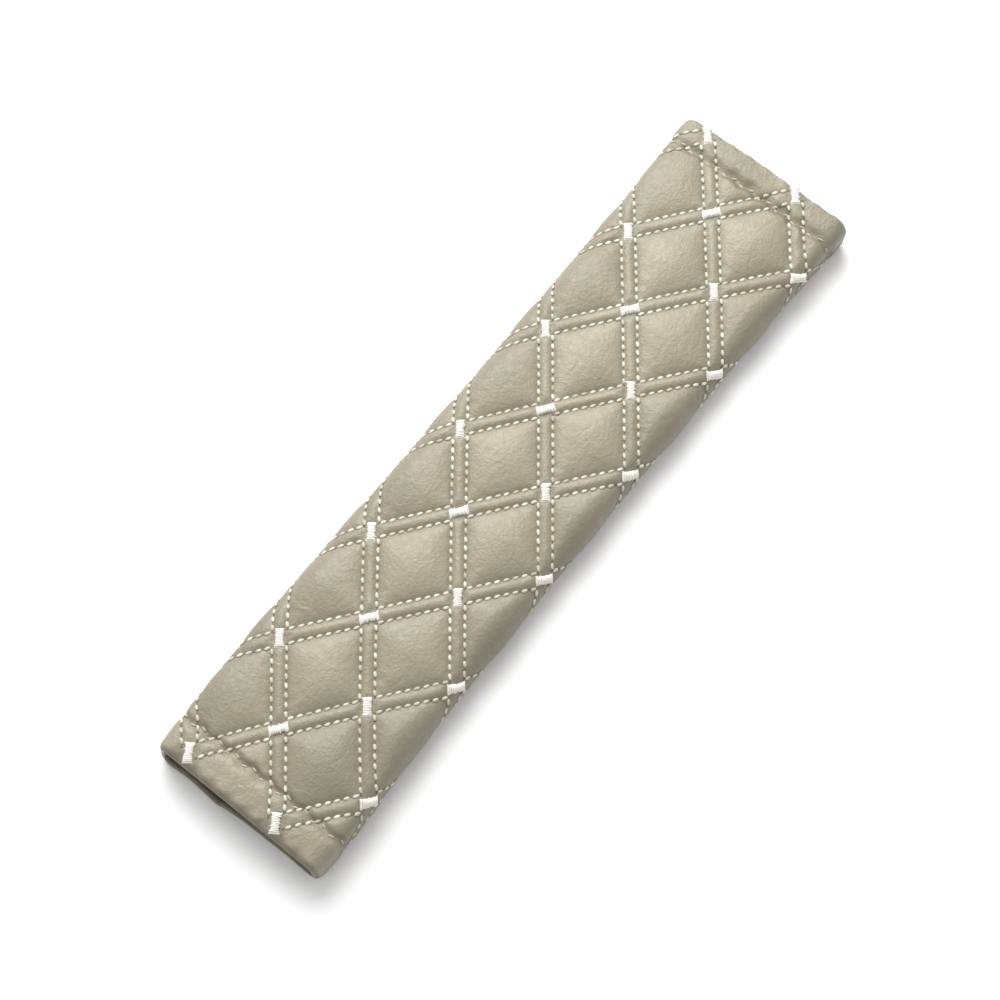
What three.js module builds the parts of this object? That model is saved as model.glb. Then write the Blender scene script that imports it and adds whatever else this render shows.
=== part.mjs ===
// Seat belt shoulder pad, in millimetres: a quilted leather-look panel wrapped into a flat sleeve.
// +X runs along the belt, +Y across it and +Z up, with the closed underside on the ground.
// A place on the panel is given by s, along the belt from the middle of the pad, and w, round the
// sleeve from the free edge of the outer flap. Depth is measured outwards from the seam level, which
// is the leather's face where a line of stitching pulls it down.

import * as THREE from 'three';

// Driving dimensions
const padLength = 270;
const padWidth = 65;
const panelThickness = 1.7;
const puffHeight = 2.1;
const foldPuffHeight = 1.2;
const ribHeight = 0.6;
const beltGap = 5;
const crownRadius = 400;
const shoulderRadius = 7;
const groundDepth = 1.6;

// Closure on the underside
const flapEdgeOffset = 0.5;
const flapOverlap = 22;
const flapEdgeClearance = 1.2;
const rampRadius = 4;
const tapeWidth = 16;
const tapeThickness = 0.6;
const tapeEndMargin = 12;
const tapeCornerRadius = 2;
const seatGap = 0.3;

// Hems
const hemWidth = 10.5;
const hemPuffHeight = 1;
const hemSeamWidth = 1.8;
const hemSeamDepth = 0.75;
const endRounding = 1;
const edgeRounding = 0.6;

// Quilting: the crossings lie on rows along the belt, in turn on odd and even columns
const diamondsAlong = 6;
const endMargin = 3;
const barRows = 8;
const firstRowMargin = 4.5;
const lastRowMargin = 3.45;
const stepsPerSpacing = 6;
const puffRoundness = 2.2;
const puffFullness = 0.6;

// Tack bars of close white stitches
const barLength = 6;
const barWidth = 2.8;
const barThickness = 0.8;
const barSeatGap = 0.35;
const barCurveSteps = 2;

// Mesh steps; the room beside a rim is a share of a step of the quilting grid
const roomAtRim = 0.3;
const roundingError = 1e-6;
const tapeCurveSteps = 2;
const rampSteps = 3;
const rimStations = [0, 0.3, 1];

// Sizes that follow from those above
const quarterTurn = Math.PI / 2;
const seamHalfWidth = padWidth / 2 - foldPuffHeight;
const flapRise = panelThickness + 2 * tapeThickness + 3 * seatGap;
const seamHeight = flapRise + 2 * panelThickness + beltGap;
const crownHalfTurn = Math.asin((seamHalfWidth - shoulderRadius) / (crownRadius - shoulderRadius));
const shoulderTurn = quarterTurn - crownHalfTurn;
const crownDrop = crownRadius * (1 - Math.cos(crownHalfTurn));
const lowerRadius = seamHeight - crownDrop - shoulderRadius * Math.cos(crownHalfTurn);
const rampTurn = Math.acos(1 - flapRise / (2 * rampRadius));
const rampEndY = flapEdgeOffset + flapEdgeClearance;
const rampStartY = rampEndY + 2 * rampRadius * Math.sin(rampTurn);
const lowerFlatEdge = seamHalfWidth - lowerRadius;
const innerFlapLength = rampEndY - flapEdgeOffset + flapOverlap;

// The sleeve's section as straight and round stretches; a turn to the right is positive
const sectionStretches = [
  { length: flapEdgeOffset + lowerFlatEdge, turn: 0 },
  { length: lowerRadius * quarterTurn, turn: quarterTurn },
  { length: shoulderRadius * shoulderTurn, turn: shoulderTurn },
  { length: crownRadius * 2 * crownHalfTurn, turn: 2 * crownHalfTurn },
  { length: shoulderRadius * shoulderTurn, turn: shoulderTurn },
  { length: lowerRadius * quarterTurn, turn: quarterTurn },
  { length: lowerFlatEdge - rampStartY, turn: 0 },
  { length: rampRadius * rampTurn, turn: rampTurn },
  { length: rampRadius * rampTurn, turn: -rampTurn },
  { length: innerFlapLength, turn: 0 },
];
const stretchEnds = [];
for (const stretch of sectionStretches) {
  stretchEnds.push((stretchEnds.at(-1) ?? 0) + stretch.length);
}
const rampStart = stretchEnds[6];
const rampMiddle = stretchEnds[7];
const rampEnd = stretchEnds[8];
const panelWidth = stretchEnds[9];

const columnSpacing = (padLength - 2 * endMargin) / (2 * diamondsAlong);
const rowSpacing = (rampStart - lastRowMargin - firstRowMargin) / (barRows - 1);
const stitchShare = 1 / stepsPerSpacing;
const rowStep = rowSpacing * stitchShare;
const columnStep = columnSpacing * stitchShare;

// Colours
const leatherMaterial = () => new THREE.MeshStandardMaterial({
  color: '#bdb7a4', roughness: 0.5, metalness: 0,
});
const threadMaterial = () => new THREE.MeshStandardMaterial({
  color: '#f5f1e6', roughness: 0.6, metalness: 0,
});
const tapeMaterial = () => new THREE.MeshStandardMaterial({
  color: '#33302c', roughness: 0.95, metalness: 0,
});

// Place on the section at a distance w along it, with the heading there
function sectionAt(w) {
  let y = flapEdgeOffset;
  let z = groundDepth;
  let heading = Math.PI;
  let left = w;
  for (const { length, turn } of sectionStretches) {
    const step = Math.min(left, length);
    if (turn === 0) {
      y += step * Math.cos(heading);
      z += step * Math.sin(heading);
    } else {
      const bend = turn / length;
      const next = heading - bend * step;
      y += (Math.sin(heading) - Math.sin(next)) / bend;
      z += (Math.cos(next) - Math.cos(heading)) / bend;
      heading = next;
    }
    left -= step;
    if (left <= 0) break;
  }
  return { y, z, heading };
}

function smoothStep(from, to, value) {
  const share = Math.min(1, Math.max(0, (value - from) / (to - from)));
  return share * share * (3 - 2 * share);
}

// Distance from a line of the quilting, as a share of the way to the middle of a puff
function shareFromLine(value) {
  return Math.abs(value - (2 * Math.floor(value / 2) + 1));
}

function pillow(share) {
  return (1 - (1 - share) ** puffRoundness) ** puffFullness;
}

// How far the leather stands out between the lines of stitching, from 0 to the puff's height
function quiltRelief(s, w, height) {
  const column = s / columnSpacing;
  const row = (w - firstRowMargin) / rowSpacing;
  const rising = shareFromLine(column + row);
  const falling = shareFromLine(column - row);
  const near = Math.min(rising, falling);
  const far = Math.max(rising, falling);
  if (far <= stitchShare + roundingError) return 0;
  if (near <= stitchShare + roundingError) {
    return ribHeight * Math.max(0, 1 - (near / stitchShare) ** 2);
  }
  const inside = (share) => Math.min(1, (share - stitchShare) / (1 - stitchShare));
  return height * pillow(inside(rising)) * pillow(inside(falling));
}

function roundOver(distance, radius) {
  if (distance >= radius) return 0;
  return radius - Math.sqrt(radius ** 2 - (radius - distance) ** 2);
}

function blend(from, to, share) {
  return from + (to - from) * share;
}

// The leather's depth: puffs, lower where they are stretched over a fold and in the hem's band
function leatherDepth(s, w) {
  const { heading } = sectionAt(w);
  const openHeight = blend(puffHeight, foldPuffHeight, Math.abs(Math.sin(heading)));
  const hemSeam = padLength / 2 - hemWidth;
  const inHem = smoothStep(hemSeam - hemSeamWidth, hemSeam + hemSeamWidth, Math.abs(s));
  const seam = hemSeamDepth * Math.exp(-(((Math.abs(s) - hemSeam) / hemSeamWidth) ** 2));
  const fadeAtEdge = smoothStep(0, firstRowMargin, w);
  const fadeAtRamp = 1 - smoothStep(rampStart, rampMiddle, w);
  const relief = quiltRelief(s, w, blend(openHeight, hemPuffHeight, inHem));
  return relief * (1 - seam) * fadeAtEdge * fadeAtRamp - roundAtRim(s, w, endRounding);
}

function liningDepth(s, w) {
  return -panelThickness + roundAtRim(s, w, edgeRounding);
}

function roundAtRim(s, w, roundingAtEnd) {
  const fromEnd = padLength / 2 - Math.abs(s);
  const fromEdge = Math.min(w, panelWidth - w);
  return Math.max(roundOver(fromEnd, roundingAtEnd), roundOver(fromEdge, edgeRounding));
}

// A point of the panel, pressed flat where the pad rests on the ground
function panelPoint(s, w, depth) {
  const { y, z, heading } = sectionAt(w);
  const height = z + depth * Math.cos(heading);
  return [s, y - depth * Math.sin(heading), Math.max(0, height)];
}

function nearBothEnds(low, high, rounding, between) {
  const start = rimStations.map((share) => low + share * rounding);
  const end = rimStations.map((share) => high - share * rounding).reverse();
  return [...start, ...between, ...end];
}

// Steps of the quilting grid that lie between two rims, with some room beside each rim
function gridSteps(origin, step, lowRim, highRim) {
  const low = lowRim + roomAtRim * step;
  const high = highRim - roomAtRim * step;
  const stations = [];
  for (let k = Math.ceil((low - origin) / step); origin + k * step <= high; k += 1) {
    stations.push(origin + k * step);
  }
  return stations;
}

function evenSteps(from, to, count) {
  return Array.from({ length: count }, (_, k) => from + ((to - from) * (k + 1)) / count);
}

function rowStations() {
  return nearBothEnds(0, panelWidth, edgeRounding, [
    ...gridSteps(firstRowMargin, rowStep, edgeRounding, rampStart),
    rampStart,
    ...evenSteps(rampStart, rampMiddle, rampSteps),
    ...evenSteps(rampMiddle, rampEnd, rampSteps),
    (rampEnd + panelWidth) / 2,
  ]);
}

function columnStations() {
  const rim = padLength / 2 - endRounding;
  const between = gridSteps(0, columnStep, -rim, rim);
  return nearBothEnds(-padLength / 2, padLength / 2, endRounding, between);
}

// The triangles of one cell, split along the line of quilting that runs nearer to it
function splitCell(corners, s, w) {
  const [a, b, c, d] = corners;
  const column = s / columnSpacing;
  const row = (w - firstRowMargin) / rowSpacing;
  if (shareFromLine(column + row) < shareFromLine(column - row)) {
    return [[a, b, d], [b, c, d]];
  }
  return [[a, b, c], [a, c, d]];
}

// The wall between two rims that have their own stations, from the leather's rim to the lining's
function joinRims(outer, outerStations, inner, innerStations) {
  const triangles = [];
  let i = 0;
  let j = 0;
  while (i < outer.length - 1 || j < inner.length - 1) {
    const outerNext = i < outer.length - 1 ? outerStations[i + 1] : Infinity;
    const innerNext = j < inner.length - 1 ? innerStations[j + 1] : Infinity;
    if (outerNext <= innerNext) {
      triangles.push([outer[i + 1], outer[i], inner[j]]);
      i += 1;
    } else {
      triangles.push([outer[i], inner[j], inner[j + 1]]);
      j += 1;
    }
  }
  return triangles;
}

function reversed(triangles) {
  return triangles.map(([a, b, c]) => [a, c, b]);
}

// One closed solid: the quilted leather outside, the plain lining inside, and walls along the rims
function quiltedPanel() {
  const rows = rowStations();
  const leatherColumns = columnStations();
  const liningColumns = nearBothEnds(-padLength / 2, padLength / 2, edgeRounding, []);
  const points = [];
  const triangles = [];

  const addFace = (columns, depthAt) => rows.map((w) => columns.map((s) => {
    points.push(...panelPoint(s, w, depthAt(s, w)));
    return points.length / 3 - 1;
  }));
  const leather = addFace(leatherColumns, leatherDepth);
  const lining = addFace(liningColumns, liningDepth);

  const addCells = (grid, columns, turnOver) => {
    for (let i = 0; i < rows.length - 1; i += 1) {
      for (let j = 0; j < columns.length - 1; j += 1) {
        const corners = [grid[i][j], grid[i][j + 1], grid[i + 1][j + 1], grid[i + 1][j]];
        const middleS = (columns[j] + columns[j + 1]) / 2;
        const middleW = (rows[i] + rows[i + 1]) / 2;
        const cell = splitCell(corners, middleS, middleW);
        triangles.push(...(turnOver ? reversed(cell) : cell));
      }
    }
  };
  addCells(leather, leatherColumns, false);
  addCells(lining, liningColumns, true);

  const first = joinRims(leather[0], leatherColumns, lining[0], liningColumns);
  const last = joinRims(leather.at(-1), leatherColumns, lining.at(-1), liningColumns);
  const near = joinRims(leather.map((row) => row[0]), rows, lining.map((row) => row[0]), rows);
  const far = joinRims(leather.map((row) => row.at(-1)), rows, lining.map((row) => row.at(-1)), rows);
  triangles.push(...first, ...reversed(last), ...reversed(near), ...far);

  const geometry = new THREE.BufferGeometry();
  geometry.setAttribute('position', new THREE.Float32BufferAttribute(points, 3));
  geometry.setIndex(triangles.flat());
  geometry.computeVertexNormals();
  const mesh = new THREE.Mesh(geometry, leatherMaterial());
  mesh.name = 'quilted_panel';
  return mesh;
}

// A flat strap with round corners, on its own level inside the overlap of the two flaps
function closureTape(name, level) {
  const length = padLength - 2 * tapeEndMargin;
  const outline = new THREE.Shape();
  const endX = length / 2 - tapeCornerRadius;
  const endY = tapeWidth / 2 - tapeCornerRadius;
  outline.absarc(endX, endY, tapeCornerRadius, 0, quarterTurn);
  outline.absarc(-endX, endY, tapeCornerRadius, quarterTurn, Math.PI);
  outline.absarc(-endX, -endY, tapeCornerRadius, Math.PI, 3 * quarterTurn);
  outline.absarc(endX, -endY, tapeCornerRadius, 3 * quarterTurn, 2 * Math.PI);
  const geometry = new THREE.ExtrudeGeometry(outline, {
    depth: tapeThickness, bevelEnabled: false, curveSegments: tapeCurveSteps,
  });
  const mesh = new THREE.Mesh(geometry, tapeMaterial());
  mesh.name = name;
  mesh.position.set(0, flapEdgeOffset - flapOverlap / 2, level);
  return mesh;
}

// A short bar with round ends, lying over the crossing along one of the two lines
function tackBar(name, s, w, slant) {
  const outline = new THREE.Shape();
  const endX = (barLength - barWidth) / 2;
  outline.absarc(endX, 0, barWidth / 2, -quarterTurn, quarterTurn);
  outline.absarc(-endX, 0, barWidth / 2, quarterTurn, 3 * quarterTurn);
  const geometry = new THREE.ExtrudeGeometry(outline, {
    depth: barThickness, bevelEnabled: false, curveSegments: barCurveSteps,
  });

  const { heading } = sectionAt(w);
  const across = new THREE.Vector3(0, Math.cos(heading), Math.sin(heading));
  const outwards = new THREE.Vector3(0, -Math.sin(heading), Math.cos(heading));
  const along = new THREE.Vector3(columnSpacing, 0, 0)
    .addScaledVector(across, slant * rowSpacing)
    .normalize();
  const sideways = new THREE.Vector3().crossVectors(outwards, along);

  const mesh = new THREE.Mesh(geometry, threadMaterial());
  mesh.name = name;
  mesh.quaternion.setFromRotationMatrix(new THREE.Matrix4().makeBasis(along, sideways, outwards));
  mesh.position.set(...panelPoint(s, w, 0)).addScaledVector(outwards, barSeatGap);
  return mesh;
}

// One bar on each crossing; they lie along the other line in each next row
function tackBars() {
  const bars = [];
  for (let row = 0; row < barRows; row += 1) {
    const onOddColumns = row % 2 === 0;
    const slant = onOddColumns ? -1 : 1;
    const firstColumn = onOddColumns ? 1 - diamondsAlong : -diamondsAlong;
    let count = 0;
    for (let column = firstColumn; column <= diamondsAlong; column += 2) {
      count += 1;
      const name = `tack_bar_${row + 1}_${count}`;
      const w = firstRowMargin + row * rowSpacing;
      bars.push(tackBar(name, column * columnSpacing, w, slant));
    }
  }
  return bars;
}

const loopLevel = groundDepth + panelThickness + seatGap;
const hookLevel = loopLevel + tapeThickness + seatGap;

const group = new THREE.Group();
group.add(quiltedPanel());
group.add(closureTape('loop_tape', loopLevel));
group.add(closureTape('hook_tape', hookLevel));
group.add(...tackBars());

export default group;
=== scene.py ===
"""Looks of the seat belt shoulder pad: quilted leather, its stitching, tack bars, lining and closure.

A place on the panel is given by s, along the belt from the middle of the pad, and w, round the
sleeve from the free edge of the outer flap. Depth is measured outwards from the level of the seams.
"""
import itertools
import math

import bmesh
import bpy
import numpy as np
from mathutils import Matrix, Vector, noise


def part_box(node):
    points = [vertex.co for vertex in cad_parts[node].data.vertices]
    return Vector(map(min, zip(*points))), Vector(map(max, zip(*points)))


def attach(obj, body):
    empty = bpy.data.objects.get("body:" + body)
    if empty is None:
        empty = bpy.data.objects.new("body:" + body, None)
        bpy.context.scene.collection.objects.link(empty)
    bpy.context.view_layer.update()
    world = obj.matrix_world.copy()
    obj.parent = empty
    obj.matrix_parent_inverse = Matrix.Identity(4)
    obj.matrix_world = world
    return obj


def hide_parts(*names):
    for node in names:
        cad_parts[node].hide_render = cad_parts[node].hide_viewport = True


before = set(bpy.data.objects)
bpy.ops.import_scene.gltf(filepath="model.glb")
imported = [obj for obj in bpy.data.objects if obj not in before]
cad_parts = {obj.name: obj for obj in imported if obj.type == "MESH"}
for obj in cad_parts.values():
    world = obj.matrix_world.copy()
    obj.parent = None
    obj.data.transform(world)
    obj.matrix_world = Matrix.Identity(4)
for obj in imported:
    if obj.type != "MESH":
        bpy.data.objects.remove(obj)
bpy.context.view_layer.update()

MM = 0.001
BODY = "root"

# The panel and the section of the sleeve
PANEL_LOW, PANEL_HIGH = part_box("quilted_panel")
PAD_LENGTH = PANEL_HIGH.x - PANEL_LOW.x
HALF_LENGTH = PAD_LENGTH / 2
PAD_WIDTH = 65 * MM
PANEL_THICKNESS = 1.7 * MM
PUFF_HEIGHT = 2.1 * MM
FOLD_PUFF_HEIGHT = 1.2 * MM
RIB_HEIGHT = 0.6 * MM
BELT_GAP = 5 * MM
CROWN_RADIUS = 400 * MM
SHOULDER_RADIUS = 7 * MM
GROUND_DEPTH = 1.6 * MM

# The closure on the underside
FLAP_EDGE_OFFSET = 0.5 * MM
FLAP_OVERLAP = 22 * MM
FLAP_EDGE_CLEARANCE = 1.2 * MM
RAMP_RADIUS = 4 * MM
TAPE_THICKNESS = 0.6 * MM
SEAT_GAP = 0.3 * MM

# The hems and rims
HEM_WIDTH = 10.5 * MM
HEM_SEAM = HALF_LENGTH - HEM_WIDTH
HEM_PUFF_HEIGHT = 0.9 * MM
HEM_CROWN = 0.95 * MM
CROWN_RISE_END = 0.3
CROWN_FALL_START = 0.84
HEM_LOSS_ON_FOLD = 0.8
HEM_SEAM_WIDTH = 1.3 * MM
HEM_GROOVE_DEPTH = 0.55 * MM
SCALLOP_HEIGHT = 0.6 * MM
SCALLOP_LENGTH = 6.8 * MM
END_ROUNDING = 1.5 * MM
EDGE_ROUNDING = 0.6 * MM
LINING_ROUNDING = 0.1 * MM
# where the painted shade inside the turned-in hem begins and where it is full
LINING_LIT = 0.3 * MM
LINING_DARK = 1.1 * MM
RIM_STEPS = 6
RIM_CLEARANCE = 1.15

# How the real pad lies: slimmer in the middle, wider at the far end, its near end to one side.
# A START or an END is a share of the way from the middle of the pad to its end.
FAR_FLARE = 0.6 * MM
FAR_FLARE_START = 0.7
STUFFING = 0.2 * MM
NEAR_SHIFT = 1.7 * MM
NEAR_SHIFT_START = 0.6
WAIST = 0.7 * MM
WAIST_REACH = PAD_LENGTH / 4
NEAR_PINCH = 0.8 * MM
NEAR_PINCH_START = 0.86
HEM_REACH = 1.7 * MM
LEAF_REACH = 1.6 * MM
LEAF_START = 0.8 * HEM_SEAM
LEAF_UNEVENNESS = 0.2
LEAF_WAVE = 4 * MM
INNER_FLAP_LOSS = 0.75
OPEN_SIDE_SHARE = 0.25
FOLD_RELIEF = 0.75 * MM
FOLD_FILL = 0.45 * MM
SQUARENESS = 1.4 * MM
SQUARE_START = 0.55
SQUARE_END = 0.97

# The quilting
DIAMONDS_ALONG = 6
END_MARGIN = 3 * MM
BAR_ROWS = 8
FIRST_ROW_MARGIN = 4.5 * MM
LAST_ROW_MARGIN = 3.45 * MM
STITCH_SHARE = 1 / 6
LEATHER_STEPS = 24
LINING_STEPS = 6
RAMP_STEPS = 10
PUFF_ROUNDNESS = 2.2
CREASE_DEPTH = 0.3 * MM
CREASE_WIDTH = 0.7 * MM
PUFF_UNEVENNESS = 0.09

# The cloth simulation, run on the flat panel at a larger scale
SHEET_STEPS = 12
SHEET_SCALE = 10
SHEET_FRAMES = 20
SHEET_START = 1.2 * MM
SHEET_CAP = 2.7 * MM
SHEET_PRESSURE = 14
SHEET_GROWTH = 0.01
SHEET_TENSION = 10
SHEET_SHEAR = SHEET_TENSION / 3
SHEET_BENDING = 8
SHEET_QUALITY = 6

# The sewing thread
STITCH_PITCH = 2.9 * MM
STITCH_LENGTH = 2.2 * MM
STITCH_WIDTH = 1.15 * MM
STITCH_THICKNESS = 0.8 * MM
STITCH_SLANT = math.radians(9)
STITCH_LIFT = 0.2 * MM
STITCH_SIDES = 8
STITCH_RINGS = 6
HOLE_LENGTH = 1.1 * MM
HOLE_WIDTH = 0.9 * MM
HOLE_THICKNESS = 0.16 * MM
HEM_STITCH_PITCH = 3.4 * MM
HEM_STITCH_LENGTH = 2.2 * MM
HEM_STITCH_WIDTH = 0.75 * MM
HEM_STITCH_LIFT = 0.1 * MM
HEM_STITCH_SLANT = 0.3

# The tack bars
BAR_LENGTH = 6.7 * MM
BAR_WIDTH = 3.3 * MM
BAR_HEIGHT = 1.25 * MM
BAR_THREAD = 0.5 * MM
BAR_WALL = 0.3 * MM
BAR_LIFT = 0.05 * MM
BAR_NECK = 0.8
BAR_SPLAY = 0.36
BAR_SINK = 0.3 * MM
BAR_LEAN = 0.35 * MM
STRAY_ACROSS = 0.42 * MM
STRAY_UP = 0.2 * MM
RIDGE_ACROSS = 0.06 * MM
RIDGE_SHARE = 0.22
CROWN_DROP = 0.18
DOME_POWER = 0.6
STEPS_PER_THREAD = 4
STEPS_ACROSS_BAR = 10

# The camera, fitted to the photograph
VIEW_ELEVATION = math.radians(71.06)
VIEW_AZIMUTH = math.radians(-51.44)
VIEW_DISTANCE = 0.7
VIEW_AIM = Vector((-9.32, -1.65, 8)) * MM
VIEW_LENS = 79.7
VIEW_NEAREST = 0.01
SENSOR_WIDTH = 36

# The studio
FLOOR_SIZE = 3
FLOOR_DROP = 0.02 * MM
ROOM_LIGHT = 0.68
KEY_PLACE = (0.34, 0.44, 0.58)
KEY_SIZE = 0.7
KEY_POWER = 10

# The colours
LEATHER_LOW = (0.255, 0.233, 0.167)
LEATHER_HIGH = (0.295, 0.270, 0.196)
# painted shade: the dark colour the leather goes over to where the mesh's shade attribute says
LEATHER_SHADE = (0.070, 0.053, 0.037)
BACKING_COLOURS = ((0.02, 0.017, 0.014), (0.045, 0.04, 0.033))
PILE_COLOURS = ((0.05, 0.046, 0.04), (0.016, 0.014, 0.012))
# painted shadow in the dimples between the stitches
HOLE_SHADOW_COLOUR = (0.15, 0.13, 0.095)
HOLE_SHADOW_DARKENING = 0.8
FLOOR_COLOUR = (0.93, 0.93, 0.93, 1)
CREAM_COLOURS = ((0.35, 0.32, 0.24), (0.72, 0.68, 0.56))
TAN_COLOURS = ((0.36, 0.31, 0.22), (0.52, 0.46, 0.34))
WHITE_COLOURS = ((0.82, 0.79, 0.73), (0.96, 0.93, 0.88))
# painted shade in the gaps between threads
THREAD_GAP_SHADE = (0.30, 0.27, 0.21)
BAR_GAP_SHADE = (0.50, 0.47, 0.41)
SOILED_SCALE = 330
FINE_SCALE = 1600
FIBRE_SCALE = 3200

# Painted shade: how much darker the leather is painted in the creases along the thread, in the hem's
# groove and at its rolled end
THREAD_SHADE = 0.29
THREAD_SHADE_WIDTH = 0.9 * MM
GROOVE_SHADE = 0.49
GROOVE_SHADE_OFFSET = 0.9 * MM
GROOVE_SHADE_WIDTH = 1.1 * MM
ROLLED_SHADE = 0.52
ROLLED_START = HALF_LENGTH - 1.3 * MM
ROLLED_END = HALF_LENGTH - 0.3 * MM

# Painted shade: how much darker the leather is painted towards the side folds, near the near end, on a
# far corner's fold and on the far hem
FOLD_SHADE = 0.28
FOLD_SHADE_REACH = (10 * MM, 33 * MM)
NEAR_HEM_LOSS = 0.7
NEAR_HEM_FADE = 3 * MM
NEAR_END_SHADE = 0.22
NEAR_END_SHADE_START = 0.5
NEAR_END_SHADE_END = 0.75
NEAR_END_SHADE_REACH = (-6 * MM, 10 * MM)
CORNER_SHADE = 0.49
CORNER_SHADE_START = 0.86
CORNER_SHADE_END = 0.95
CORNER_SHARPNESS = 3
FAR_HEM_SHADE = 0.22
FAR_HEM_SHADE_REACH = (-8 * MM, 10 * MM)
SHADE_FADE = 2 * MM

QUARTER_TURN = math.pi / 2


def section_stretches():
    """The sleeve's section as straight and round stretches: (length, turn to the right)."""
    half_width = PAD_WIDTH / 2 - FOLD_PUFF_HEIGHT
    flap_rise = PANEL_THICKNESS + 2 * TAPE_THICKNESS + 3 * SEAT_GAP
    height = flap_rise + 2 * PANEL_THICKNESS + BELT_GAP
    crown_turn = math.asin((half_width - SHOULDER_RADIUS) / (CROWN_RADIUS - SHOULDER_RADIUS))
    crown_drop = CROWN_RADIUS * (1 - math.cos(crown_turn))
    shoulder_turn = QUARTER_TURN - crown_turn
    lower_radius = height - crown_drop - SHOULDER_RADIUS * math.cos(crown_turn)
    ramp_turn = math.acos(1 - flap_rise / (2 * RAMP_RADIUS))
    ramp_end = FLAP_EDGE_OFFSET + FLAP_EDGE_CLEARANCE
    ramp_start = ramp_end + 2 * RAMP_RADIUS * math.sin(ramp_turn)
    flat_edge = half_width - lower_radius
    lower_fold = (lower_radius * QUARTER_TURN, QUARTER_TURN)
    shoulder = (SHOULDER_RADIUS * shoulder_turn, shoulder_turn)
    return [
        (FLAP_EDGE_OFFSET + flat_edge, 0),
        lower_fold,
        shoulder,
        (CROWN_RADIUS * 2 * crown_turn, 2 * crown_turn),
        shoulder,
        lower_fold,
        (flat_edge - ramp_start, 0),
        (RAMP_RADIUS * ramp_turn, ramp_turn),
        (RAMP_RADIUS * ramp_turn, -ramp_turn),
        (FLAP_EDGE_CLEARANCE + FLAP_OVERLAP, 0),
    ]


STRETCHES = section_stretches()
STRETCH_ENDS = np.cumsum([length for length, _ in STRETCHES])
RAMP_START, RAMP_MIDDLE, RAMP_END, PANEL_WIDTH = STRETCH_ENDS[6:10]
TOP_MIDDLE = (STRETCH_ENDS[2] + STRETCH_ENDS[3]) / 2
COLUMN_SPACING = (PAD_LENGTH - 2 * END_MARGIN) / (2 * DIAMONDS_ALONG)
ROW_SPACING = (RAMP_START - LAST_ROW_MARGIN - FIRST_ROW_MARGIN) / (BAR_ROWS - 1)
LINE_REACH = 1 / math.hypot(1 / COLUMN_SPACING, 1 / ROW_SPACING)
HALF_SIDE = math.hypot(COLUMN_SPACING, ROW_SPACING) / 2


def section_at(w):
    """y, z and heading on the section at the distances w."""
    w = np.asarray(w, float)
    y = np.full_like(w, FLAP_EDGE_OFFSET)
    z = np.full_like(w, GROUND_DEPTH)
    heading = np.full_like(w, math.pi)
    start = 0.0
    for length, turn in STRETCHES:
        step = np.clip(w - start, 0, length)
        start += length
        if turn == 0:
            y = y + step * np.cos(heading)
            z = z + step * np.sin(heading)
        else:
            bend = turn / length
            turned = heading - bend * step
            y = y + (np.sin(heading) - np.sin(turned)) / bend
            z = z + (np.cos(turned) - np.cos(heading)) / bend
            heading = turned
    return y, z, heading


def smooth_step(low, high, value):
    """0 up to low, 1 from high on, and an even swing between them."""
    share = np.clip((value - low) / (high - low), 0, 1)
    return share * share * (3 - 2 * share)


def towards_end(s, start, end=1):
    """0 up to the start, 1 from the end on, both as shares of half the pad's length."""
    return smooth_step(start * HALF_LENGTH, end * HALF_LENGTH, s)


def mix(low, high, share):
    return low + (high - low) * share


def share_from_line(value):
    """Distance from a quilting line, as a share of the way to the middle of a puff."""
    return np.abs(value - (2 * np.floor(value / 2) + 1))


def lattice(s, w):
    """The two quilting coordinates; a line of quilting runs where either is odd."""
    column = s / COLUMN_SPACING
    row = (w - FIRST_ROW_MARGIN) / ROW_SPACING
    return column + row, column - row


def line_shares(s, w):
    """The shares of the way from a quilting line, for both families of lines."""
    return [share_from_line(value) for value in lattice(s, w)]


def distance_from_thread(s, w):
    a, b = line_shares(s, w)
    return np.minimum(np.abs(a - STITCH_SHARE), np.abs(b - STITCH_SHARE)) * LINE_REACH


def start_relief(a, b):
    """Puffs and ribs before the air goes in, from the shares of both families of lines."""
    near = np.minimum(a, b)
    rise = []
    for share in (a, b):
        from_rib = np.clip((share - STITCH_SHARE) / (1 - STITCH_SHARE), 0, 1)
        rise.append(1 - (1 - from_rib) ** PUFF_ROUNDNESS)
    rib = RIB_HEIGHT * (1 - (near / STITCH_SHARE) ** 2)
    relief = np.where(near > STITCH_SHARE, SHEET_START * rise[0] * rise[1], rib)
    return np.where(np.maximum(a, b) <= STITCH_SHARE, 0, relief)


COLUMN_NUMBERS = np.arange(-SHEET_STEPS * DIAMONDS_ALONG - 1, SHEET_STEPS * DIAMONDS_ALONG + 2)
ROW_NUMBERS = np.arange(-3, SHEET_STEPS * (BAR_ROWS - 1) + 3)


def numbered_grid(bm, column_count, row_count):
    """A flat grid, and the column and row of each of its vertices."""
    made = bmesh.ops.create_grid(
        bm, x_segments=column_count - 1, y_segments=row_count - 1, size=1
    )
    verts = made["verts"]
    columns = np.rint([(v.co.x + 1) / 2 * (column_count - 1) for v in verts]).astype(int)
    rows = np.rint([(v.co.y + 1) / 2 * (row_count - 1) for v in verts]).astype(int)
    return verts, columns, rows


def is_sewn(columns, rows, a, b):
    """True where thread, bar, hem or rim holds the sheet down."""
    slack = 1e-6
    on_line = np.minimum(np.abs(a - STITCH_SHARE), np.abs(b - STITCH_SHARE)) < slack
    under_bar = np.maximum(a, b) < STITCH_SHARE + slack
    hem_column = round(HEM_SEAM / COLUMN_SPACING * SHEET_STEPS)
    on_hem = np.abs(columns) == hem_column
    on_end = np.abs(columns) == COLUMN_NUMBERS[-1]
    on_edge = (rows == ROW_NUMBERS[0]) | (rows == ROW_NUMBERS[-1])
    return on_line | under_bar | on_hem | on_end | on_edge


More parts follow.
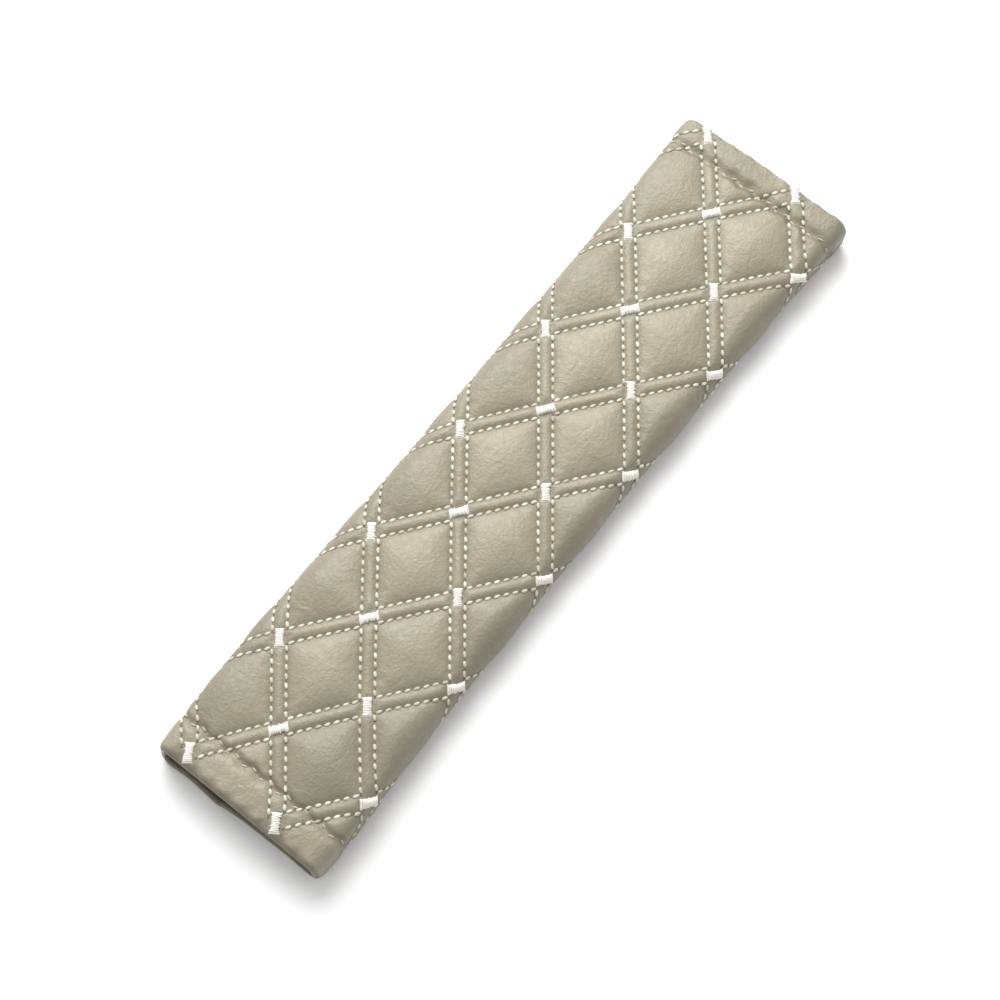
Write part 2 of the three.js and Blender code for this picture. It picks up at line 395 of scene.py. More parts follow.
def sewn_sheet():
    """The flat panel as a sheet to be blown up, with its sewn vertices in a group."""
    bm = bmesh.new()
    verts, columns, rows = numbered_grid(bm, len(COLUMN_NUMBERS), len(ROW_NUMBERS))
    columns, rows = COLUMN_NUMBERS[columns], ROW_NUMBERS[rows]
    s = columns / SHEET_STEPS * COLUMN_SPACING
    w = FIRST_ROW_MARGIN + rows / SHEET_STEPS * ROW_SPACING
    a, b = line_shares(s, w)
    sewn = is_sewn(columns, rows, a, b)
    height = np.where(sewn, 0, start_relief(a, b))
    place = {}
    for vert, at_s, at_w, up in zip(verts, s, w, height):
        vert.co = Vector((at_s, at_w, up)) * SHEET_SCALE
        place[vert] = (at_s, at_w)
    split_along_quilting(bm, list(bm.faces), place)
    sheet = finished(bm, "sewn_sheet")
    group = sheet.vertex_groups.new(name="sewn")
    group.add([int(k) for k in np.nonzero(sewn)[0]], 1.0, "REPLACE")
    return sheet, (columns - COLUMN_NUMBERS[0], rows - ROW_NUMBERS[0])


def blow_up(sheet):
    """Some frames of cloth under pressure; returns how high each vertex comes to stand."""
    cloth = sheet.modifiers.new("cloth", "CLOTH")
    settings = cloth.settings
    settings.quality = SHEET_QUALITY
    settings.tension_stiffness = SHEET_TENSION
    settings.compression_stiffness = SHEET_TENSION
    settings.shear_stiffness = SHEET_SHEAR
    settings.bending_stiffness = SHEET_BENDING
    settings.use_pressure = True
    settings.uniform_pressure_force = SHEET_PRESSURE
    settings.shrink_min = -SHEET_GROWTH
    settings.vertex_group_mass = "sewn"
    settings.effector_weights.gravity = 0
    cloth.collision_settings.use_collision = False
    cloth.point_cache.frame_end = SHEET_FRAMES
    for frame_number in range(1, SHEET_FRAMES + 1):
        bpy.context.scene.frame_set(frame_number)
    blown = sheet.evaluated_get(bpy.context.evaluated_depsgraph_get()).data
    heights = np.array([vert.co.z for vert in blown.vertices]) / SHEET_SCALE
    bpy.context.scene.frame_set(1)
    return np.clip(heights, 0, SHEET_CAP)


def sheet_heights():
    """The relief of the flat quilted panel at each point of the lattice."""
    sheet, numbers = sewn_sheet()
    heights = blow_up(sheet)
    relief = np.zeros((len(COLUMN_NUMBERS), len(ROW_NUMBERS)))
    relief[numbers] = heights
    bpy.data.objects.remove(sheet)
    return relief


def cubic_weights(t):
    """Weights of four neighbours, for a smooth curve through the two in the middle."""
    return [
        (-t + 2 * t**2 - t**3) / 2,
        (2 - 5 * t**2 + 3 * t**3) / 2,
        (t + 4 * t**2 - 3 * t**3) / 2,
        (t**3 - t**2) / 2,
    ]


def sampled(relief, s, w):
    """The relief between the points of the lattice, by smooth interpolation."""
    column = s / COLUMN_SPACING * SHEET_STEPS - COLUMN_NUMBERS[0]
    row = (w - FIRST_ROW_MARGIN) / ROW_SPACING * SHEET_STEPS - ROW_NUMBERS[0]
    i = np.clip(np.floor(column).astype(int), 1, len(COLUMN_NUMBERS) - 3)
    j = np.clip(np.floor(row).astype(int), 1, len(ROW_NUMBERS) - 3)
    total = 0
    for di, along in enumerate(cubic_weights(np.clip(column - i, 0, 1))):
        for dj, across in enumerate(cubic_weights(np.clip(row - j, 0, 1))):
            total = total + along * across * relief[i + di - 1, j + dj - 1]
    return total


def puff_variation(s, w):
    """Some puffs are a little fuller than others, the same on every run."""
    along = np.sin(s / (11 * MM) + 1.3)
    across = np.sin(w / (13 * MM) + 0.4)
    return 1 + PUFF_UNEVENNESS * along * across


def quilt_relief(relief, s, w, height):
    """The puffs at the height given, with a crease along the thread but not under the bars."""
    open_panel = smooth_step(STITCH_SHARE, 2 * STITCH_SHARE, np.maximum(*line_shares(s, w)))
    near_thread = np.exp(-((distance_from_thread(s, w) / CREASE_WIDTH) ** 2))
    crease = CREASE_DEPTH * near_thread * open_panel
    puffs = sampled(relief, s, w) * puff_variation(s, w)
    return (puffs - crease) * height / PUFF_HEIGHT


def round_over(distance, radius):
    """How far a round edge falls back at a distance from the rim."""
    inside = np.clip(radius - distance, 0, radius)
    return radius - np.sqrt(radius**2 - inside**2)


def round_at_rim(s, w, end_rounding, edge_rounding):
    from_end = HALF_LENGTH - np.abs(s)
    from_edge = np.minimum(w, PANEL_WIDTH - w)
    return np.maximum(round_over(from_end, end_rounding), round_over(from_edge, edge_rounding))


def scallop(w):
    """The hem's seam runs in small waves."""
    return SCALLOP_HEIGHT * np.sin(2 * math.pi * w / SCALLOP_LENGTH)


def hem_roll(s, w):
    """The hem is folded double: a groove along its seam, then a raised flat band."""
    past_seam = np.abs(s) - HEM_SEAM - scallop(w)
    band = np.clip(past_seam / (HALF_LENGTH - HEM_SEAM), 0, 1)
    groove = np.exp(-((past_seam / HEM_SEAM_WIDTH) ** 2))
    crown = smooth_step(0, CROWN_RISE_END, band) * (1 - smooth_step(CROWN_FALL_START, 1, band))
    return HEM_CROWN * crown - HEM_GROOVE_DEPTH * groove


def leather_depth(relief, s, w):
    """The outer face: lower puffs on the folds and in the hems, and none on the inner flap."""
    heading = section_at(w)[2]
    on_fold = np.abs(np.sin(heading))
    open_height = mix(PUFF_HEIGHT, FOLD_RELIEF, on_fold)
    in_hem = smooth_step(-HEM_SEAM_WIDTH, HEM_SEAM_WIDTH, np.abs(s) - HEM_SEAM)
    height = mix(open_height, HEM_PUFF_HEIGHT, in_hem)
    fade = smooth_step(0, FIRST_ROW_MARGIN, w) * (1 - smooth_step(RAMP_START, RAMP_MIDDLE, w))
    quilting = quilt_relief(relief, s, w, height) + FOLD_FILL * on_fold
    quilting = quilting + hem_roll(s, w) * (1 - HEM_LOSS_ON_FOLD * on_fold)
    return quilting * fade - round_at_rim(s, w, END_ROUNDING, EDGE_ROUNDING)


def lining_depth(s, w):
    return -PANEL_THICKNESS + round_at_rim(s, w, LINING_ROUNDING, LINING_ROUNDING)


def near_leaf(s, w):
    """The lower layers reach a little further out than the upper ones at the near end."""
    inner_flap = smooth_step(RAMP_MIDDLE, PANEL_WIDTH, w)
    closed_side = smooth_step(STRETCH_ENDS[4], STRETCH_ENDS[5], w)
    closed_side = closed_side * (1 - INNER_FLAP_LOSS * inner_flap)
    open_side = 1 - smooth_step(STRETCH_ENDS[0], STRETCH_ENDS[1], w)
    uneven = 1 - LEAF_UNEVENNESS * (1 - np.sin(w / LEAF_WAVE))
    reach = LEAF_REACH * (closed_side + OPEN_SIDE_SHARE * open_side) * uneven
    return reach * smooth_step(LEAF_START, HALF_LENGTH, -s)


def near_hem(s):
    """The near hem is a little longer than the far one."""
    return HEM_REACH * np.clip((-s - HEM_SEAM) / HEM_WIDTH, 0, 1) ** 4


def squared_fold(s, w, heading):
    """The folds are pressed squarer towards both ends."""
    corner = np.sin(2 * heading) ** 2 * (w < RAMP_START)
    return SQUARENESS * corner * towards_end(np.abs(s), SQUARE_START, SQUARE_END)


def wrap(s, w, depth):
    """Points of the sleeve as it really lies, pressed flat where it rests on the ground."""
    y, z, heading = section_at(w)
    depth = depth + squared_fold(s, w, heading)
    y = y - depth * np.sin(heading)
    z = np.maximum(z + depth * np.cos(heading), 0)
    flare = FAR_FLARE * towards_end(s, FAR_FLARE_START)
    waist = WAIST * np.exp(-((s / WAIST_REACH) ** 2))
    pinch = NEAR_PINCH * towards_end(-s, NEAR_PINCH_START)
    widening = STUFFING + flare - waist - pinch
    shift = NEAR_SHIFT * towards_end(-s, NEAR_SHIFT_START)
    y = y * (1 + widening / (PAD_WIDTH / 2)) - shift
    return np.stack([s - near_leaf(s, w) - near_hem(s), y, z], axis=-1)


def rim_steps(rounding):
    """Distances from the rim at which a round edge has its rows of vertices."""
    angles = np.linspace(0, QUARTER_TURN, RIM_STEPS + 1)
    return rounding * (1 - np.cos(angles))


def stations(low, high, rounding, between):
    """Where the rows of vertices lie: close together at both rims, as given between them."""
    rim = rim_steps(rounding)
    margin = RIM_CLEARANCE * rounding
    inner = [place for place in between if low + margin < place < high - margin]
    return np.concatenate([low + rim, inner, high - rim[::-1]])


def column_stations(steps, rounding, from_end=()):
    """Stations along the pad, in step with the quilting, and at the distances from both ends."""
    step = COLUMN_SPACING / steps
    count = int(HALF_LENGTH / step)
    near_ends = [side * (HALF_LENGTH - distance) for side in (-1, 1) for distance in from_end]
    inner = sorted([*(np.arange(-count, count + 1) * step), *near_ends])
    return stations(-HALF_LENGTH, HALF_LENGTH, rounding, inner)


def row_stations(steps):
    """Stations round the sleeve, in step with the quilting as far as it goes."""
    step = ROW_SPACING / steps
    first = FIRST_ROW_MARGIN - step * int(FIRST_ROW_MARGIN / step)
    open_rows = np.arange(first, RAMP_START - step / 2, step)
    ramp = np.linspace(RAMP_START, RAMP_END, 2 * RAMP_STEPS + 1)
    flap = np.linspace(RAMP_END, PANEL_WIDTH, RAMP_STEPS)[1:-1]
    return stations(0, PANEL_WIDTH, EDGE_ROUNDING, [*open_rows, *ramp, *flap])


def leather_shade(s, w):
    """How dark the leather is painted: painted shade along the thread, in and at the end of the hems,
    and towards the folds and ends.
    """
    thread = THREAD_SHADE * np.exp(-((distance_from_thread(s, w) / THREAD_SHADE_WIDTH) ** 2))
    past_seam = np.abs(s) - HEM_SEAM - scallop(w)
    from_groove = (past_seam + GROOVE_SHADE_OFFSET) / GROOVE_SHADE_WIDTH
    groove = GROOVE_SHADE * np.exp(-(from_groove**2))
    rolled = ROLLED_SHADE * smooth_step(ROLLED_START, ROLLED_END, np.abs(s))
    return np.max([thread, groove, rolled, *painted_shade_places(s, w)], axis=0)


def painted_shade_places(s, w):
    """Painted shade towards the side folds, near the near end, on a far corner's fold and on the far
    hem.
    """
    from_middle = w - TOP_MIDDLE
    outside = w < RAMP_START
    # painted shade towards both side folds, less of it on the near hem
    fold_shade = FOLD_SHADE * smooth_step(*FOLD_SHADE_REACH, np.abs(from_middle)) * outside
    in_near_hem = smooth_step(HEM_SEAM, HEM_SEAM + NEAR_HEM_FADE, -s)
    fold_shade = fold_shade * (1 - NEAR_HEM_LOSS * in_near_hem)
    # painted shade near the near end, then on the far corner's fold and on the far hem
    near = NEAR_END_SHADE * towards_end(-s, NEAR_END_SHADE_START, NEAR_END_SHADE_END)
    near = near * smooth_step(*NEAR_END_SHADE_REACH, -from_middle)
    near = near * smooth_step(0, SHADE_FADE, HEM_SEAM - np.abs(s))
    on_fold = np.abs(np.sin(section_at(w)[2])) ** CORNER_SHARPNESS * (w < PANEL_WIDTH / 3)
    corner = CORNER_SHADE * on_fold * towards_end(s, CORNER_SHADE_START, CORNER_SHADE_END)
    far = FAR_HEM_SHADE * smooth_step(HEM_SEAM, HEM_SEAM + SHADE_FADE, s) * outside
    far = far * smooth_step(*FAR_HEM_SHADE_REACH, from_middle)
    return fold_shade, near, corner, far


def lining_shade(s, w):
    """Painted shade inside the turned-in hem: dark inside, lighter at its rim."""
    return smooth_step(LINING_LIT, LINING_DARK, HALF_LENGTH - np.abs(s))


def add_surface(bm, columns, rows, depth_at, shade_at, material):
    """A grid of the panel with a vertex at every station; returns its faces, sides and places."""
    uv_layer = bm.loops.layers.uv.verify()
    shade_layer = bm.verts.layers.float.get("shade")
    verts, across, around = numbered_grid(bm, len(columns), len(rows))
    s, w = columns[across], rows[around]
    points = wrap(s, w, depth_at(s, w))
    place = {}
    for vert, point, at_s, at_w, shade in zip(verts, points, s, w, shade_at(s, w)):
        vert.co = point
        vert[shade_layer] = shade
        place[vert] = (at_s, at_w)
    faces = {face for vert in verts for face in vert.link_faces}
    for face in faces:
        at_s = sum(place[vert][0] for vert in face.verts) / len(face.verts)
        face.material_index = 0 if abs(at_s) > HEM_SEAM else material
        for loop in face.loops:
            loop[uv_layer].uv = place[loop.vert]
    limits = {
        "near": (0, columns[0]),
        "far": (0, columns[-1]),
        "first": (1, rows[0]),
        "last": (1, rows[-1]),
    }
    sides = {name: [] for name in limits}
    for edge in {e for face in faces for e in face.edges if e.is_boundary}:
        a, b = (place[v] for v in edge.verts)
        for name, (axis, value) in limits.items():
            if a[axis] == value and b[axis] == value:
                sides[name].append(edge)
    return list(faces), sides, place


def split_along_quilting(bm, faces, place):
    """Triangles whose long edges follow the nearer line of quilting, so that creases run clean."""
    middles = np.array([np.mean([place[v] for v in face.verts], axis=0) for face in faces])
    rising, falling = lattice(middles[:, 0], middles[:, 1])
    along_rising = share_from_line(rising) < share_from_line(falling)
    for wanted, method in ((True, "ALTERNATE"), (False, "FIXED")):
        chosen = [face for face, is_rising in zip(faces, along_rising) if is_rising == wanted]
        bmesh.ops.triangulate(bm, faces=chosen, quad_method=method)


def quilted_cover(relief):
    """The whole panel as one closed mesh: leather outside, backing fabric inside, joined at the rims."""
    bm = bmesh.new()
    bm.loops.layers.uv.new("panel")
    bm.verts.layers.float.new("shade")
    leather, outer, place = add_surface(
        bm,
        column_stations(LEATHER_STEPS, END_ROUNDING),
        row_stations(LEATHER_STEPS),
        lambda s, w: leather_depth(relief, s, w),
        leather_shade,
        0,
    )
    lining, inner, _ = add_surface(
        bm,
        column_stations(LINING_STEPS, LINING_ROUNDING, (LINING_LIT, LINING_DARK)),
        row_stations(LEATHER_STEPS),
        lining_depth,
        lining_shade,
        1,
    )
    bmesh.ops.reverse_faces(bm, faces=lining)
    for name in outer:
        bridged = bmesh.ops.bridge_loops(bm, edges=outer[name] + inner[name])
        for face in bridged["faces"]:
            face.material_index = 0
    split_along_quilting(bm, leather, place)
    bmesh.ops.recalc_face_normals(bm, faces=bm.faces)
    return finished(bm, "quilted_cover")


def mesh_of(bm, name):
    """The mesh that was built up, with smooth shading."""
    for face in bm.faces:
        face.smooth = True
    mesh = bpy.data.meshes.new(name)
    bm.to_mesh(mesh)
    bm.free()
    return mesh


def finished(bm, name):
    """A piece of the scene from the mesh that was built up."""
    piece = bpy.data.objects.new(name, mesh_of(bm, name))
    bpy.context.scene.collection.objects.link(piece)
    return piece


def unit(vectors):
    return vectors / np.linalg.norm(vectors, axis=-1, keepdims=True)


def placed_on_leather(s, w, depth, towards_s, towards_w):
    """A placement on the leather for each place: X along the direction given, Z outwards."""
    nudge = 0.2 * MM
    along_s = wrap(s + nudge, w, depth) - wrap(s - nudge, w, depth)
    along_w = wrap(s, w + nudge, depth) - wrap(s, w - nudge, depth)
    out = unit(np.cross(along_s, along_w))
    towards_s, towards_w = np.reshape(towards_s, (-1, 1)), np.reshape(towards_w, (-1, 1))
    along = unit(along_s * towards_s + along_w * towards_w)
    side = np.cross(out, along)
    at = wrap(s, w, depth)
    placed = []
    for x_axis, y_axis, z_axis, origin in zip(along, side, out, at):
        turned = Matrix((x_axis, y_axis, z_axis)).transposed().to_4x4()
        placed.append(Matrix.Translation(origin) @ turned)
    return placed


def placed_along_line(s, w, depth, way):
    """Placements whose X runs along the line of quilting that goes the way given."""
    return placed_on_leather(s, w, depth, np.full_like(s, COLUMN_SPACING), way * ROW_SPACING)


def drop_of_thread(length, width, thickness, slant):
    """One stitch lying on the leather, as a mesh to be placed many times."""
    bm = bmesh.new()
    size = Matrix.Diagonal((length / 2, width / 2, thickness / 2, 1))
    turned = Matrix.Rotation(slant, 4, "Z") @ size
    bmesh.ops.create_uvsphere(
        bm, u_segments=STITCH_SIDES, v_segments=STITCH_RINGS, radius=1, matrix=turned
    )
    return mesh_of(bm, "stitch")


def place_copies(name, mesh, matrices):
    """One object that holds a copy of the mesh at each of the placements."""
    bm = bmesh.new()
    for matrix in matrices:
        mesh.transform(matrix)
        bm.from_mesh(mesh)
        mesh.transform(matrix.inverted())
    press_flat(bm)
    return finished(bm, name)


def press_flat(bm, lowest=0):
    """Nothing reaches below the ground that the pad rests on."""
    for vert in bm.verts:
        vert.co.z = max(vert.co.z, lowest)


def line_places(offset):
    """s, w and direction at each pitch of the double lines; none lies under a tack bar."""
    found = []
    reach = 2 * (DIAMONDS_ALONG + BAR_ROWS) + 1
    free = 2 * (1 - STITCH_SHARE)
    count = round(free * HALF_SIDE / STITCH_PITCH)
    ways = (-1, 1)
    lines = range(-reach, reach + 1, 2)
    sides = (-STITCH_SHARE, STITCH_SHARE)
    for way, line, side, crossing, k in itertools.product(ways, lines, sides, lines, range(count)):
        along = crossing + STITCH_SHARE + free * (k + offset) / count
        across = line + side
        rising, falling = (across, along) if way < 0 else (along, across)
        s = (rising + falling) / 2 * COLUMN_SPACING
        w = FIRST_ROW_MARGIN + (rising - falling) / 2 * ROW_SPACING
        inside = abs(s) < HALF_LENGTH - STITCH_LENGTH
        if inside and 2 * EDGE_ROUNDING < w < RAMP_MIDDLE:
            found.append((s, w, way))
    return (np.array(values) for values in zip(*found))


def quilting_thread(relief):
    """The stitches of the double lines."""
    s, w, way = line_places(0.5)
    depth = leather_depth(relief, s, w) + STITCH_LIFT
    placed = placed_along_line(s, w, depth, way)
    stitch = drop_of_thread(STITCH_LENGTH, STITCH_WIDTH, STITCH_THICKNESS, STITCH_SLANT)
    return place_copies("quilting_thread", stitch, placed)


def needle_hole_shadows(relief):
    """Painted shadow: a dark disc in the dimple between each two stitches, where the thread goes down.
    """
    s, w, way = line_places(0)
    placed = placed_along_line(s, w, leather_depth(relief, s, w), way)
    hole = drop_of_thread(HOLE_LENGTH, HOLE_WIDTH, HOLE_THICKNESS, 0)
    return place_copies("needle_hole_shadows", hole, placed)


def hem_thread(relief):
    """One scalloped line of small stitches along each end."""
    w = np.arange(FIRST_ROW_MARGIN, RAMP_START - HEM_STITCH_PITCH, HEM_STITCH_PITCH)
    placed = []
    for end in (-1, 1):
        s = end * (HEM_SEAM + scallop(w))
        depth = leather_depth(relief, s, w) + HEM_STITCH_LIFT
        slant = HEM_STITCH_SLANT * (-1) ** np.arange(len(w))
        placed += placed_on_leather(s, w, depth, slant, np.ones_like(w))
    stitch = drop_of_thread(HEM_STITCH_LENGTH, HEM_STITCH_WIDTH, HEM_STITCH_WIDTH, 0)
    return place_copies("hem_thread", stitch, placed)


def bar_places():
    """s, w and direction of every tack bar; they lie along the other line in each next row."""
    places = []
    for row in range(BAR_ROWS):
        on_odd = row % 2 == 0
        first = 1 - DIAMONDS_ALONG if on_odd else -DIAMONDS_ALONG
        for column in range(first, DIAMONDS_ALONG + 1, 2):
            w = FIRST_ROW_MARGIN + row * ROW_SPACING
            places.append((column * COLUMN_SPACING, w, -1 if on_odd else 1))
    return (np.array(values) for values in zip(*places))


def tack_bar(seed):
    """A loaf of close threads that run across the bar, splayed at both ends."""
    bm = bmesh.new()
    shade_layer = bm.verts.layers.float.new("shade")
    threads = int(BAR_LENGTH / BAR_THREAD)
    bmesh.ops.create_grid(
        bm, x_segments=STEPS_PER_THREAD * threads, y_segments=STEPS_ACROSS_BAR, size=1
    )
    for vert in bm.verts:
        share, across = vert.co.x, vert.co.y
        thread = (share + 1) / 2 * threads
        ridge = abs(math.sin(math.pi * thread))
        stray = noise.noise(Vector((math.floor(thread) * 1.7 + 0.3, seed * 3.1, across)))
        half = BAR_WIDTH / 2 * (BAR_NECK + BAR_SPLAY * abs(share) ** 4)
        half = half + STRAY_ACROSS * stray + RIDGE_ACROSS * ridge
        angle = across * QUARTER_TURN
        dome = max(0, math.cos(angle)) ** DOME_POWER
        end = max(0, 1 - share**8)
        crown = BAR_HEIGHT * (1 - RIDGE_SHARE * (1 - ridge)) * (1 - CROWN_DROP * share**2)
        crown = crown + STRAY_UP * stray
        height = crown * dome * end - BAR_SINK * (1 - dome * end)
        lean = BAR_LEAN * across * stray
        vert.co = Vector((share * BAR_LENGTH / 2 + lean, half * math.sin(angle), height))
        # painted shade in the gap between two threads of the bar
        vert[shade_layer] = 1 - ridge
    return mesh_of(bm, "tack_bar")


def tack_bars(relief):
    """A bar on every crossing, no two alike, with a wall of the thickness of its thread."""
    s, w, way = bar_places()
    placed = placed_along_line(s, w, leather_depth(relief, s, w) + BAR_LIFT, way)
    bm = bmesh.new()
    for seed, matrix in enumerate(placed):
        bar = tack_bar(seed)
        bar.transform(matrix)
        bm.from_mesh(bar)
    press_flat(bm, BAR_WALL / 2)
    piece = finished(bm, "satin_tack_bars")
    wall = piece.modifiers.new("wall", "SOLIDIFY")
    wall.thickness = BAR_WALL
    wall.offset = -1
    return piece


# Materials


def new_material(name):
    """A material with its nodes and its shader."""
    material = bpy.data.materials.new(name)
    material.use_nodes = True
    tree = material.node_tree
    return material, tree, tree.nodes["Principled BSDF"]


def node(tree, kind, **settings):
    """A new node; a setting is the number on a socket, or else a choice of the node."""
    made = tree.nodes.new(kind)
    for name, value in settings.items():
        if name in made.inputs:
            made.inputs[name].default_value = value
        else:
            setattr(made, name, value)
    return made


def object_coordinates(tree):
    return node(tree, "ShaderNodeTexCoord").outputs["Object"]


def noise_of(tree, coordinates, scale, detail=3, roughness=0.5, distortion=0):
    settings = {"Scale": scale, "Detail": detail, "Roughness": roughness, "Distortion": distortion}
    made = node(tree, "ShaderNodeTexNoise", **settings)
    tree.links.new(coordinates, made.inputs["Vector"])
    return made.outputs["Fac"]


def cells_of(tree, coordinates, scale, feature):
    made = node(tree, "ShaderNodeTexVoronoi", feature=feature, Scale=scale)
    tree.links.new(coordinates, made.inputs["Vector"])
    return made.outputs["Distance"]


def shade_of(tree):
    """The painted shade that the mesh carries at each of its vertices."""
    return node(tree, "ShaderNodeAttribute", attribute_name="shade").outputs["Fac"]


def ramp(tree, value, low, high, colours):
    """The first colour where the value is low, the second where it is high."""
    made = node(tree, "ShaderNodeValToRGB")
    made.color_ramp.elements[0].position = low
    made.color_ramp.elements[1].position = high
    for element, colour in zip(made.color_ramp.elements, colours):
        element.color = (*colour, 1)
    tree.links.new(value, made.inputs["Fac"])
    return made.outputs["Color"]


def blend(tree, share, colour, other):
    """The colour, going over to another where the share is 1."""
    made = node(tree, "ShaderNodeMix", data_type="RGBA")
    tree.links.new(share, made.inputs["Factor"])
    tree.links.new(colour, made.inputs["A"])
    made.inputs["B"].default_value = (*other, 1)
    return made.outputs["Result"]


def value_range(tree, value, low, high, to_low, to_high):
    settings = {"From Min": low, "From Max": high, "To Min": to_low, "To Max": to_high}
    made = node(tree, "ShaderNodeMapRange", **settings)
    tree.links.new(value, made.inputs["Value"])
    return made.outputs["Result"]


def bump(tree, height, strength, distance, below=None):
    made = node(tree, "ShaderNodeBump", Strength=strength, Distance=distance)
    tree.links.new(height, made.inputs["Height"])
    if below is not None:
        tree.links.new(below, made.inputs["Normal"])
    return made.outputs["Normal"]


def leather_material():
    """Beige leather-look sheet: worm-like grain, soft wrinkles and a satin face."""
    material, tree, shader = new_material("beige_leather")
    place = object_coordinates(tree)
    mottle = noise_of(tree, place, scale=60, detail=5, roughness=0.6)
    colour = ramp(tree, mottle, 0.35, 0.68, [LEATHER_LOW, LEATHER_HIGH])
    # painted shade: darker towards LEATHER_SHADE where the mesh's shade attribute says
    colour = blend(tree, shade_of(tree), colour, LEATHER_SHADE)
    tree.links.new(colour, shader.inputs["Base Color"])
    gloss = noise_of(tree, place, scale=500)
    roughness = value_range(tree, gloss, low=0.3, high=0.7, to_low=0.36, to_high=0.56)
    tree.links.new(roughness, shader.inputs["Roughness"])
    shader.inputs["Specular IOR Level"].default_value = 0.5
    wrinkles = noise_of(tree, place, scale=210, distortion=1.4)
    grain = noise_of(tree, place, scale=700, distortion=1.5)
    pebble = cells_of(tree, place, scale=1000, feature="SMOOTH_F1")
    normal = bump(tree, wrinkles, strength=0.37, distance=0.8 * MM)
    normal = bump(tree, grain, strength=0.45, distance=0.36 * MM, below=normal)
    normal = bump(tree, pebble, strength=0.5, distance=0.2 * MM, below=normal)
    tree.links.new(normal, shader.inputs["Normal"])
    return material


def backing_material():
    """Dark knitted backing fabric."""
    material, tree, shader = new_material("dark_backing")
    place = object_coordinates(tree)
    colour = ramp(tree, noise_of(tree, place, scale=900), 0.3, 0.7, BACKING_COLOURS)
    tree.links.new(colour, shader.inputs["Base Color"])
    shader.inputs["Roughness"].default_value = 0.92
    weave = node(tree, "ShaderNodeTexWave", wave_type="BANDS", bands_direction="DIAGONAL", Scale=300)
    tree.links.new(place, weave.inputs["Vector"])
    normal = bump(tree, weave.outputs["Fac"], strength=0.5, distance=0.2 * MM)
    tree.links.new(normal, shader.inputs["Normal"])
    return material


def hole_shadow_material():
    """Painted shadow in the needle's dimple: the leather where the needle went through, painted dark."""
    material, tree, shader = new_material("needle_hole_shadow")
    mottle = noise_of(tree, object_coordinates(tree), scale=1500, detail=2)
    dark = tuple(HOLE_SHADOW_DARKENING * channel for channel in HOLE_SHADOW_COLOUR)
    tree.links.new(ramp(tree, mottle, 0.3, 0.7, [dark, HOLE_SHADOW_COLOUR]), shader.inputs["Base Color"])
    shader.inputs["Roughness"].default_value = 0.85
    return material


def thread_material(name, colours, gap, scale):
    """Spun thread, unevenly soiled; where the mesh says so, painted shade in the gap between two
    threads.
    """
    material, tree, shader = new_material(name)
    place = object_coordinates(tree)
    colour = ramp(tree, noise_of(tree, place, scale, detail=5), 0.3, 0.7, colours)
    # painted shade in the gaps between threads
    colour = blend(tree, shade_of(tree), colour, gap)
    tree.links.new(colour, shader.inputs["Base Color"])
    shader.inputs["Roughness"].default_value = 0.55
    shader.inputs["Sheen Weight"].default_value = 0.25
    fibres = noise_of(tree, place, FIBRE_SCALE, detail=2)
    normal = bump(tree, fibres, strength=0.4, distance=0.08 * MM)
    tree.links.new(normal, shader.inputs["Normal"])
    return material


def tape_material(name, scale, roughness):
    """The dark face of a fastening tape, with its small loops or hooks."""
    material, tree, shader = new_material(name)
    pile = cells_of(tree, object_coordinates(tree), scale, feature="F1")
    tree.links.new(ramp(tree, pile, 0.1, 0.6, PILE_COLOURS), shader.inputs["Base Color"])
    shader.inputs["Roughness"].default_value = roughness
    normal = bump(tree, pile, strength=0.8, distance=0.4 * MM)
    tree.links.new(normal, shader.inputs["Normal"])
    return material


def floor_material():
    material, _, shader = new_material("pale_floor")
    shader.inputs["Base Color"].default_value = FLOOR_COLOUR
    shader.inputs["Roughness"].default_value = 0.9
    shader.inputs["Specular IOR Level"].default_value = 0.1
    return material


# The studio


def studio_floor():
    bm = bmesh.new()
    bmesh.ops.create_grid(bm, x_segments=1, y_segments=1, size=FLOOR_SIZE)
    floor = finished(bm, "studio_floor")
    floor.location.z = -FLOOR_DROP
    floor.data.materials.append(floor_material())


def soft_light(name, place, size, power):
    """A square lamp that faces the pad."""
    light = bpy.data.lights.new(name, "AREA")
    light.energy = power
    light.size = size
    lamp = bpy.data.objects.new(name, light)
    lamp.location = place
    lamp.rotation_euler = (-Vector(place)).to_track_quat("-Z", "Y").to_euler()
    bpy.context.scene.collection.objects.link(lamp)


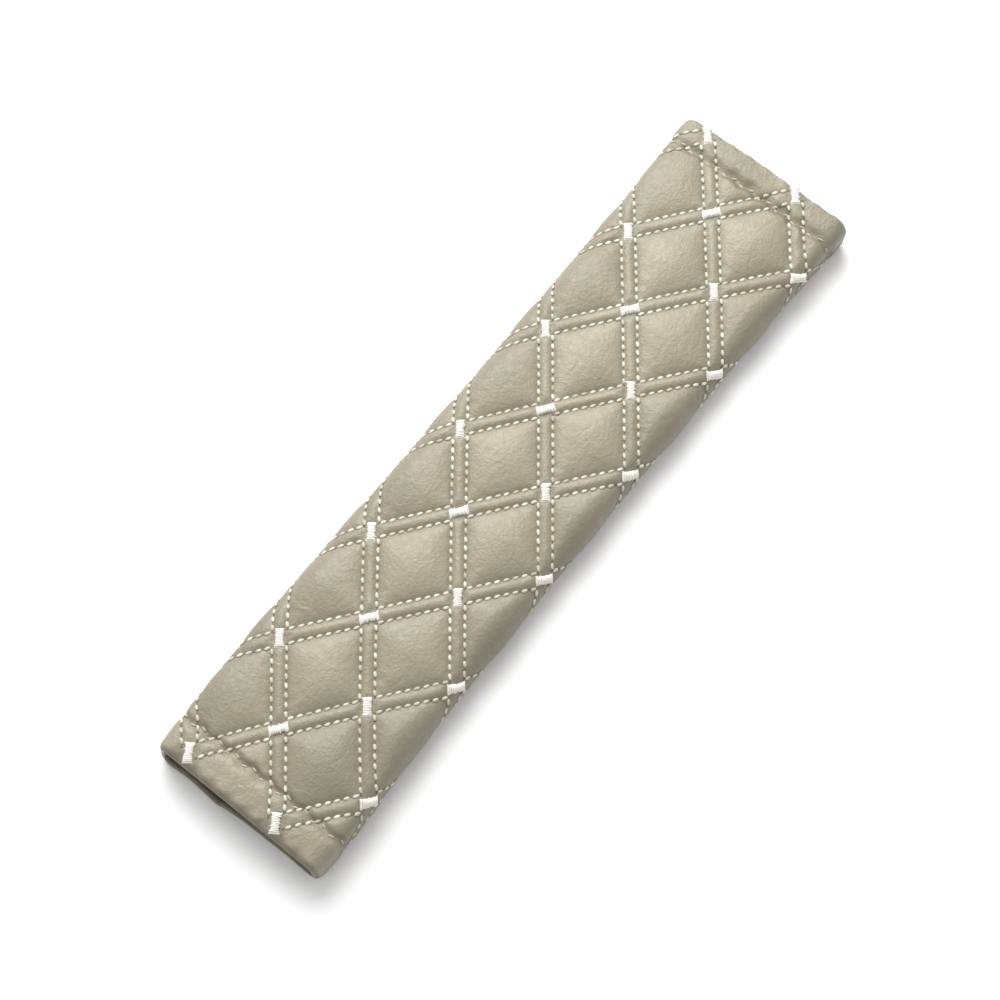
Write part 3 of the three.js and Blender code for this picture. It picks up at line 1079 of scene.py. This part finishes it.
def studio_lights():
    world = bpy.data.worlds.new("studio")
    world.use_nodes = True
    background = world.node_tree.nodes["Background"]
    background.inputs["Color"].default_value = (1, 1, 1, 1)
    background.inputs["Strength"].default_value = ROOM_LIGHT
    bpy.context.scene.world = world
    soft_light("key", KEY_PLACE, KEY_SIZE, KEY_POWER)


def view_camera():
    back = Vector((
        math.sin(VIEW_AZIMUTH) * math.cos(VIEW_ELEVATION),
        -math.cos(VIEW_AZIMUTH) * math.cos(VIEW_ELEVATION),
        math.sin(VIEW_ELEVATION),
    ))
    lens = bpy.data.cameras.new("view")
    lens.lens = VIEW_LENS
    lens.sensor_width = SENSOR_WIDTH
    lens.clip_start = VIEW_NEAREST
    camera = bpy.data.objects.new("view", lens)
    camera.location = VIEW_AIM + back * VIEW_DISTANCE
    camera.rotation_euler = back.to_track_quat("Z", "Y").to_euler()
    bpy.context.scene.collection.objects.link(camera)
    bpy.context.scene.camera = camera


def dress(piece, slot, *materials):
    """Puts the materials on a piece of the scene and ties it to the part."""
    for material in materials:
        piece.data.materials.append(material)
    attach(piece, BODY)


def build():
    bpy.context.scene.view_settings.view_transform = "Standard"
    view_camera()
    studio_floor()
    studio_lights()

    relief = sheet_heights()
    cover = quilted_cover(relief)
    dress(cover, "leather", leather_material(), backing_material())
    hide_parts("quilted_panel")

    cream = thread_material("cream_thread", CREAM_COLOURS, THREAD_GAP_SHADE, SOILED_SCALE)
    dress(quilting_thread(relief), "tack_thread", cream)
    dress(needle_hole_shadows(relief), "leather", hole_shadow_material())
    tan = thread_material("tan_thread", TAN_COLOURS, THREAD_GAP_SHADE, FINE_SCALE)
    dress(hem_thread(relief), "tack_thread", tan)

    bars = tack_bars(relief)
    white = thread_material("white_thread", WHITE_COLOURS, BAR_GAP_SHADE, FINE_SCALE)
    dress(bars, "tack_thread", white)
    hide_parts(*[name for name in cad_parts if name.startswith("tack_bar_")])

    tapes = {
        "loop_tape": tape_material("loop_pile", scale=1500, roughness=0.95),
        "hook_tape": tape_material("hook_face", scale=900, roughness=0.7),
    }
    for name, material in tapes.items():
        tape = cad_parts[name]
        tape.data.materials.clear()
        tape.data.materials.append(material)


build()
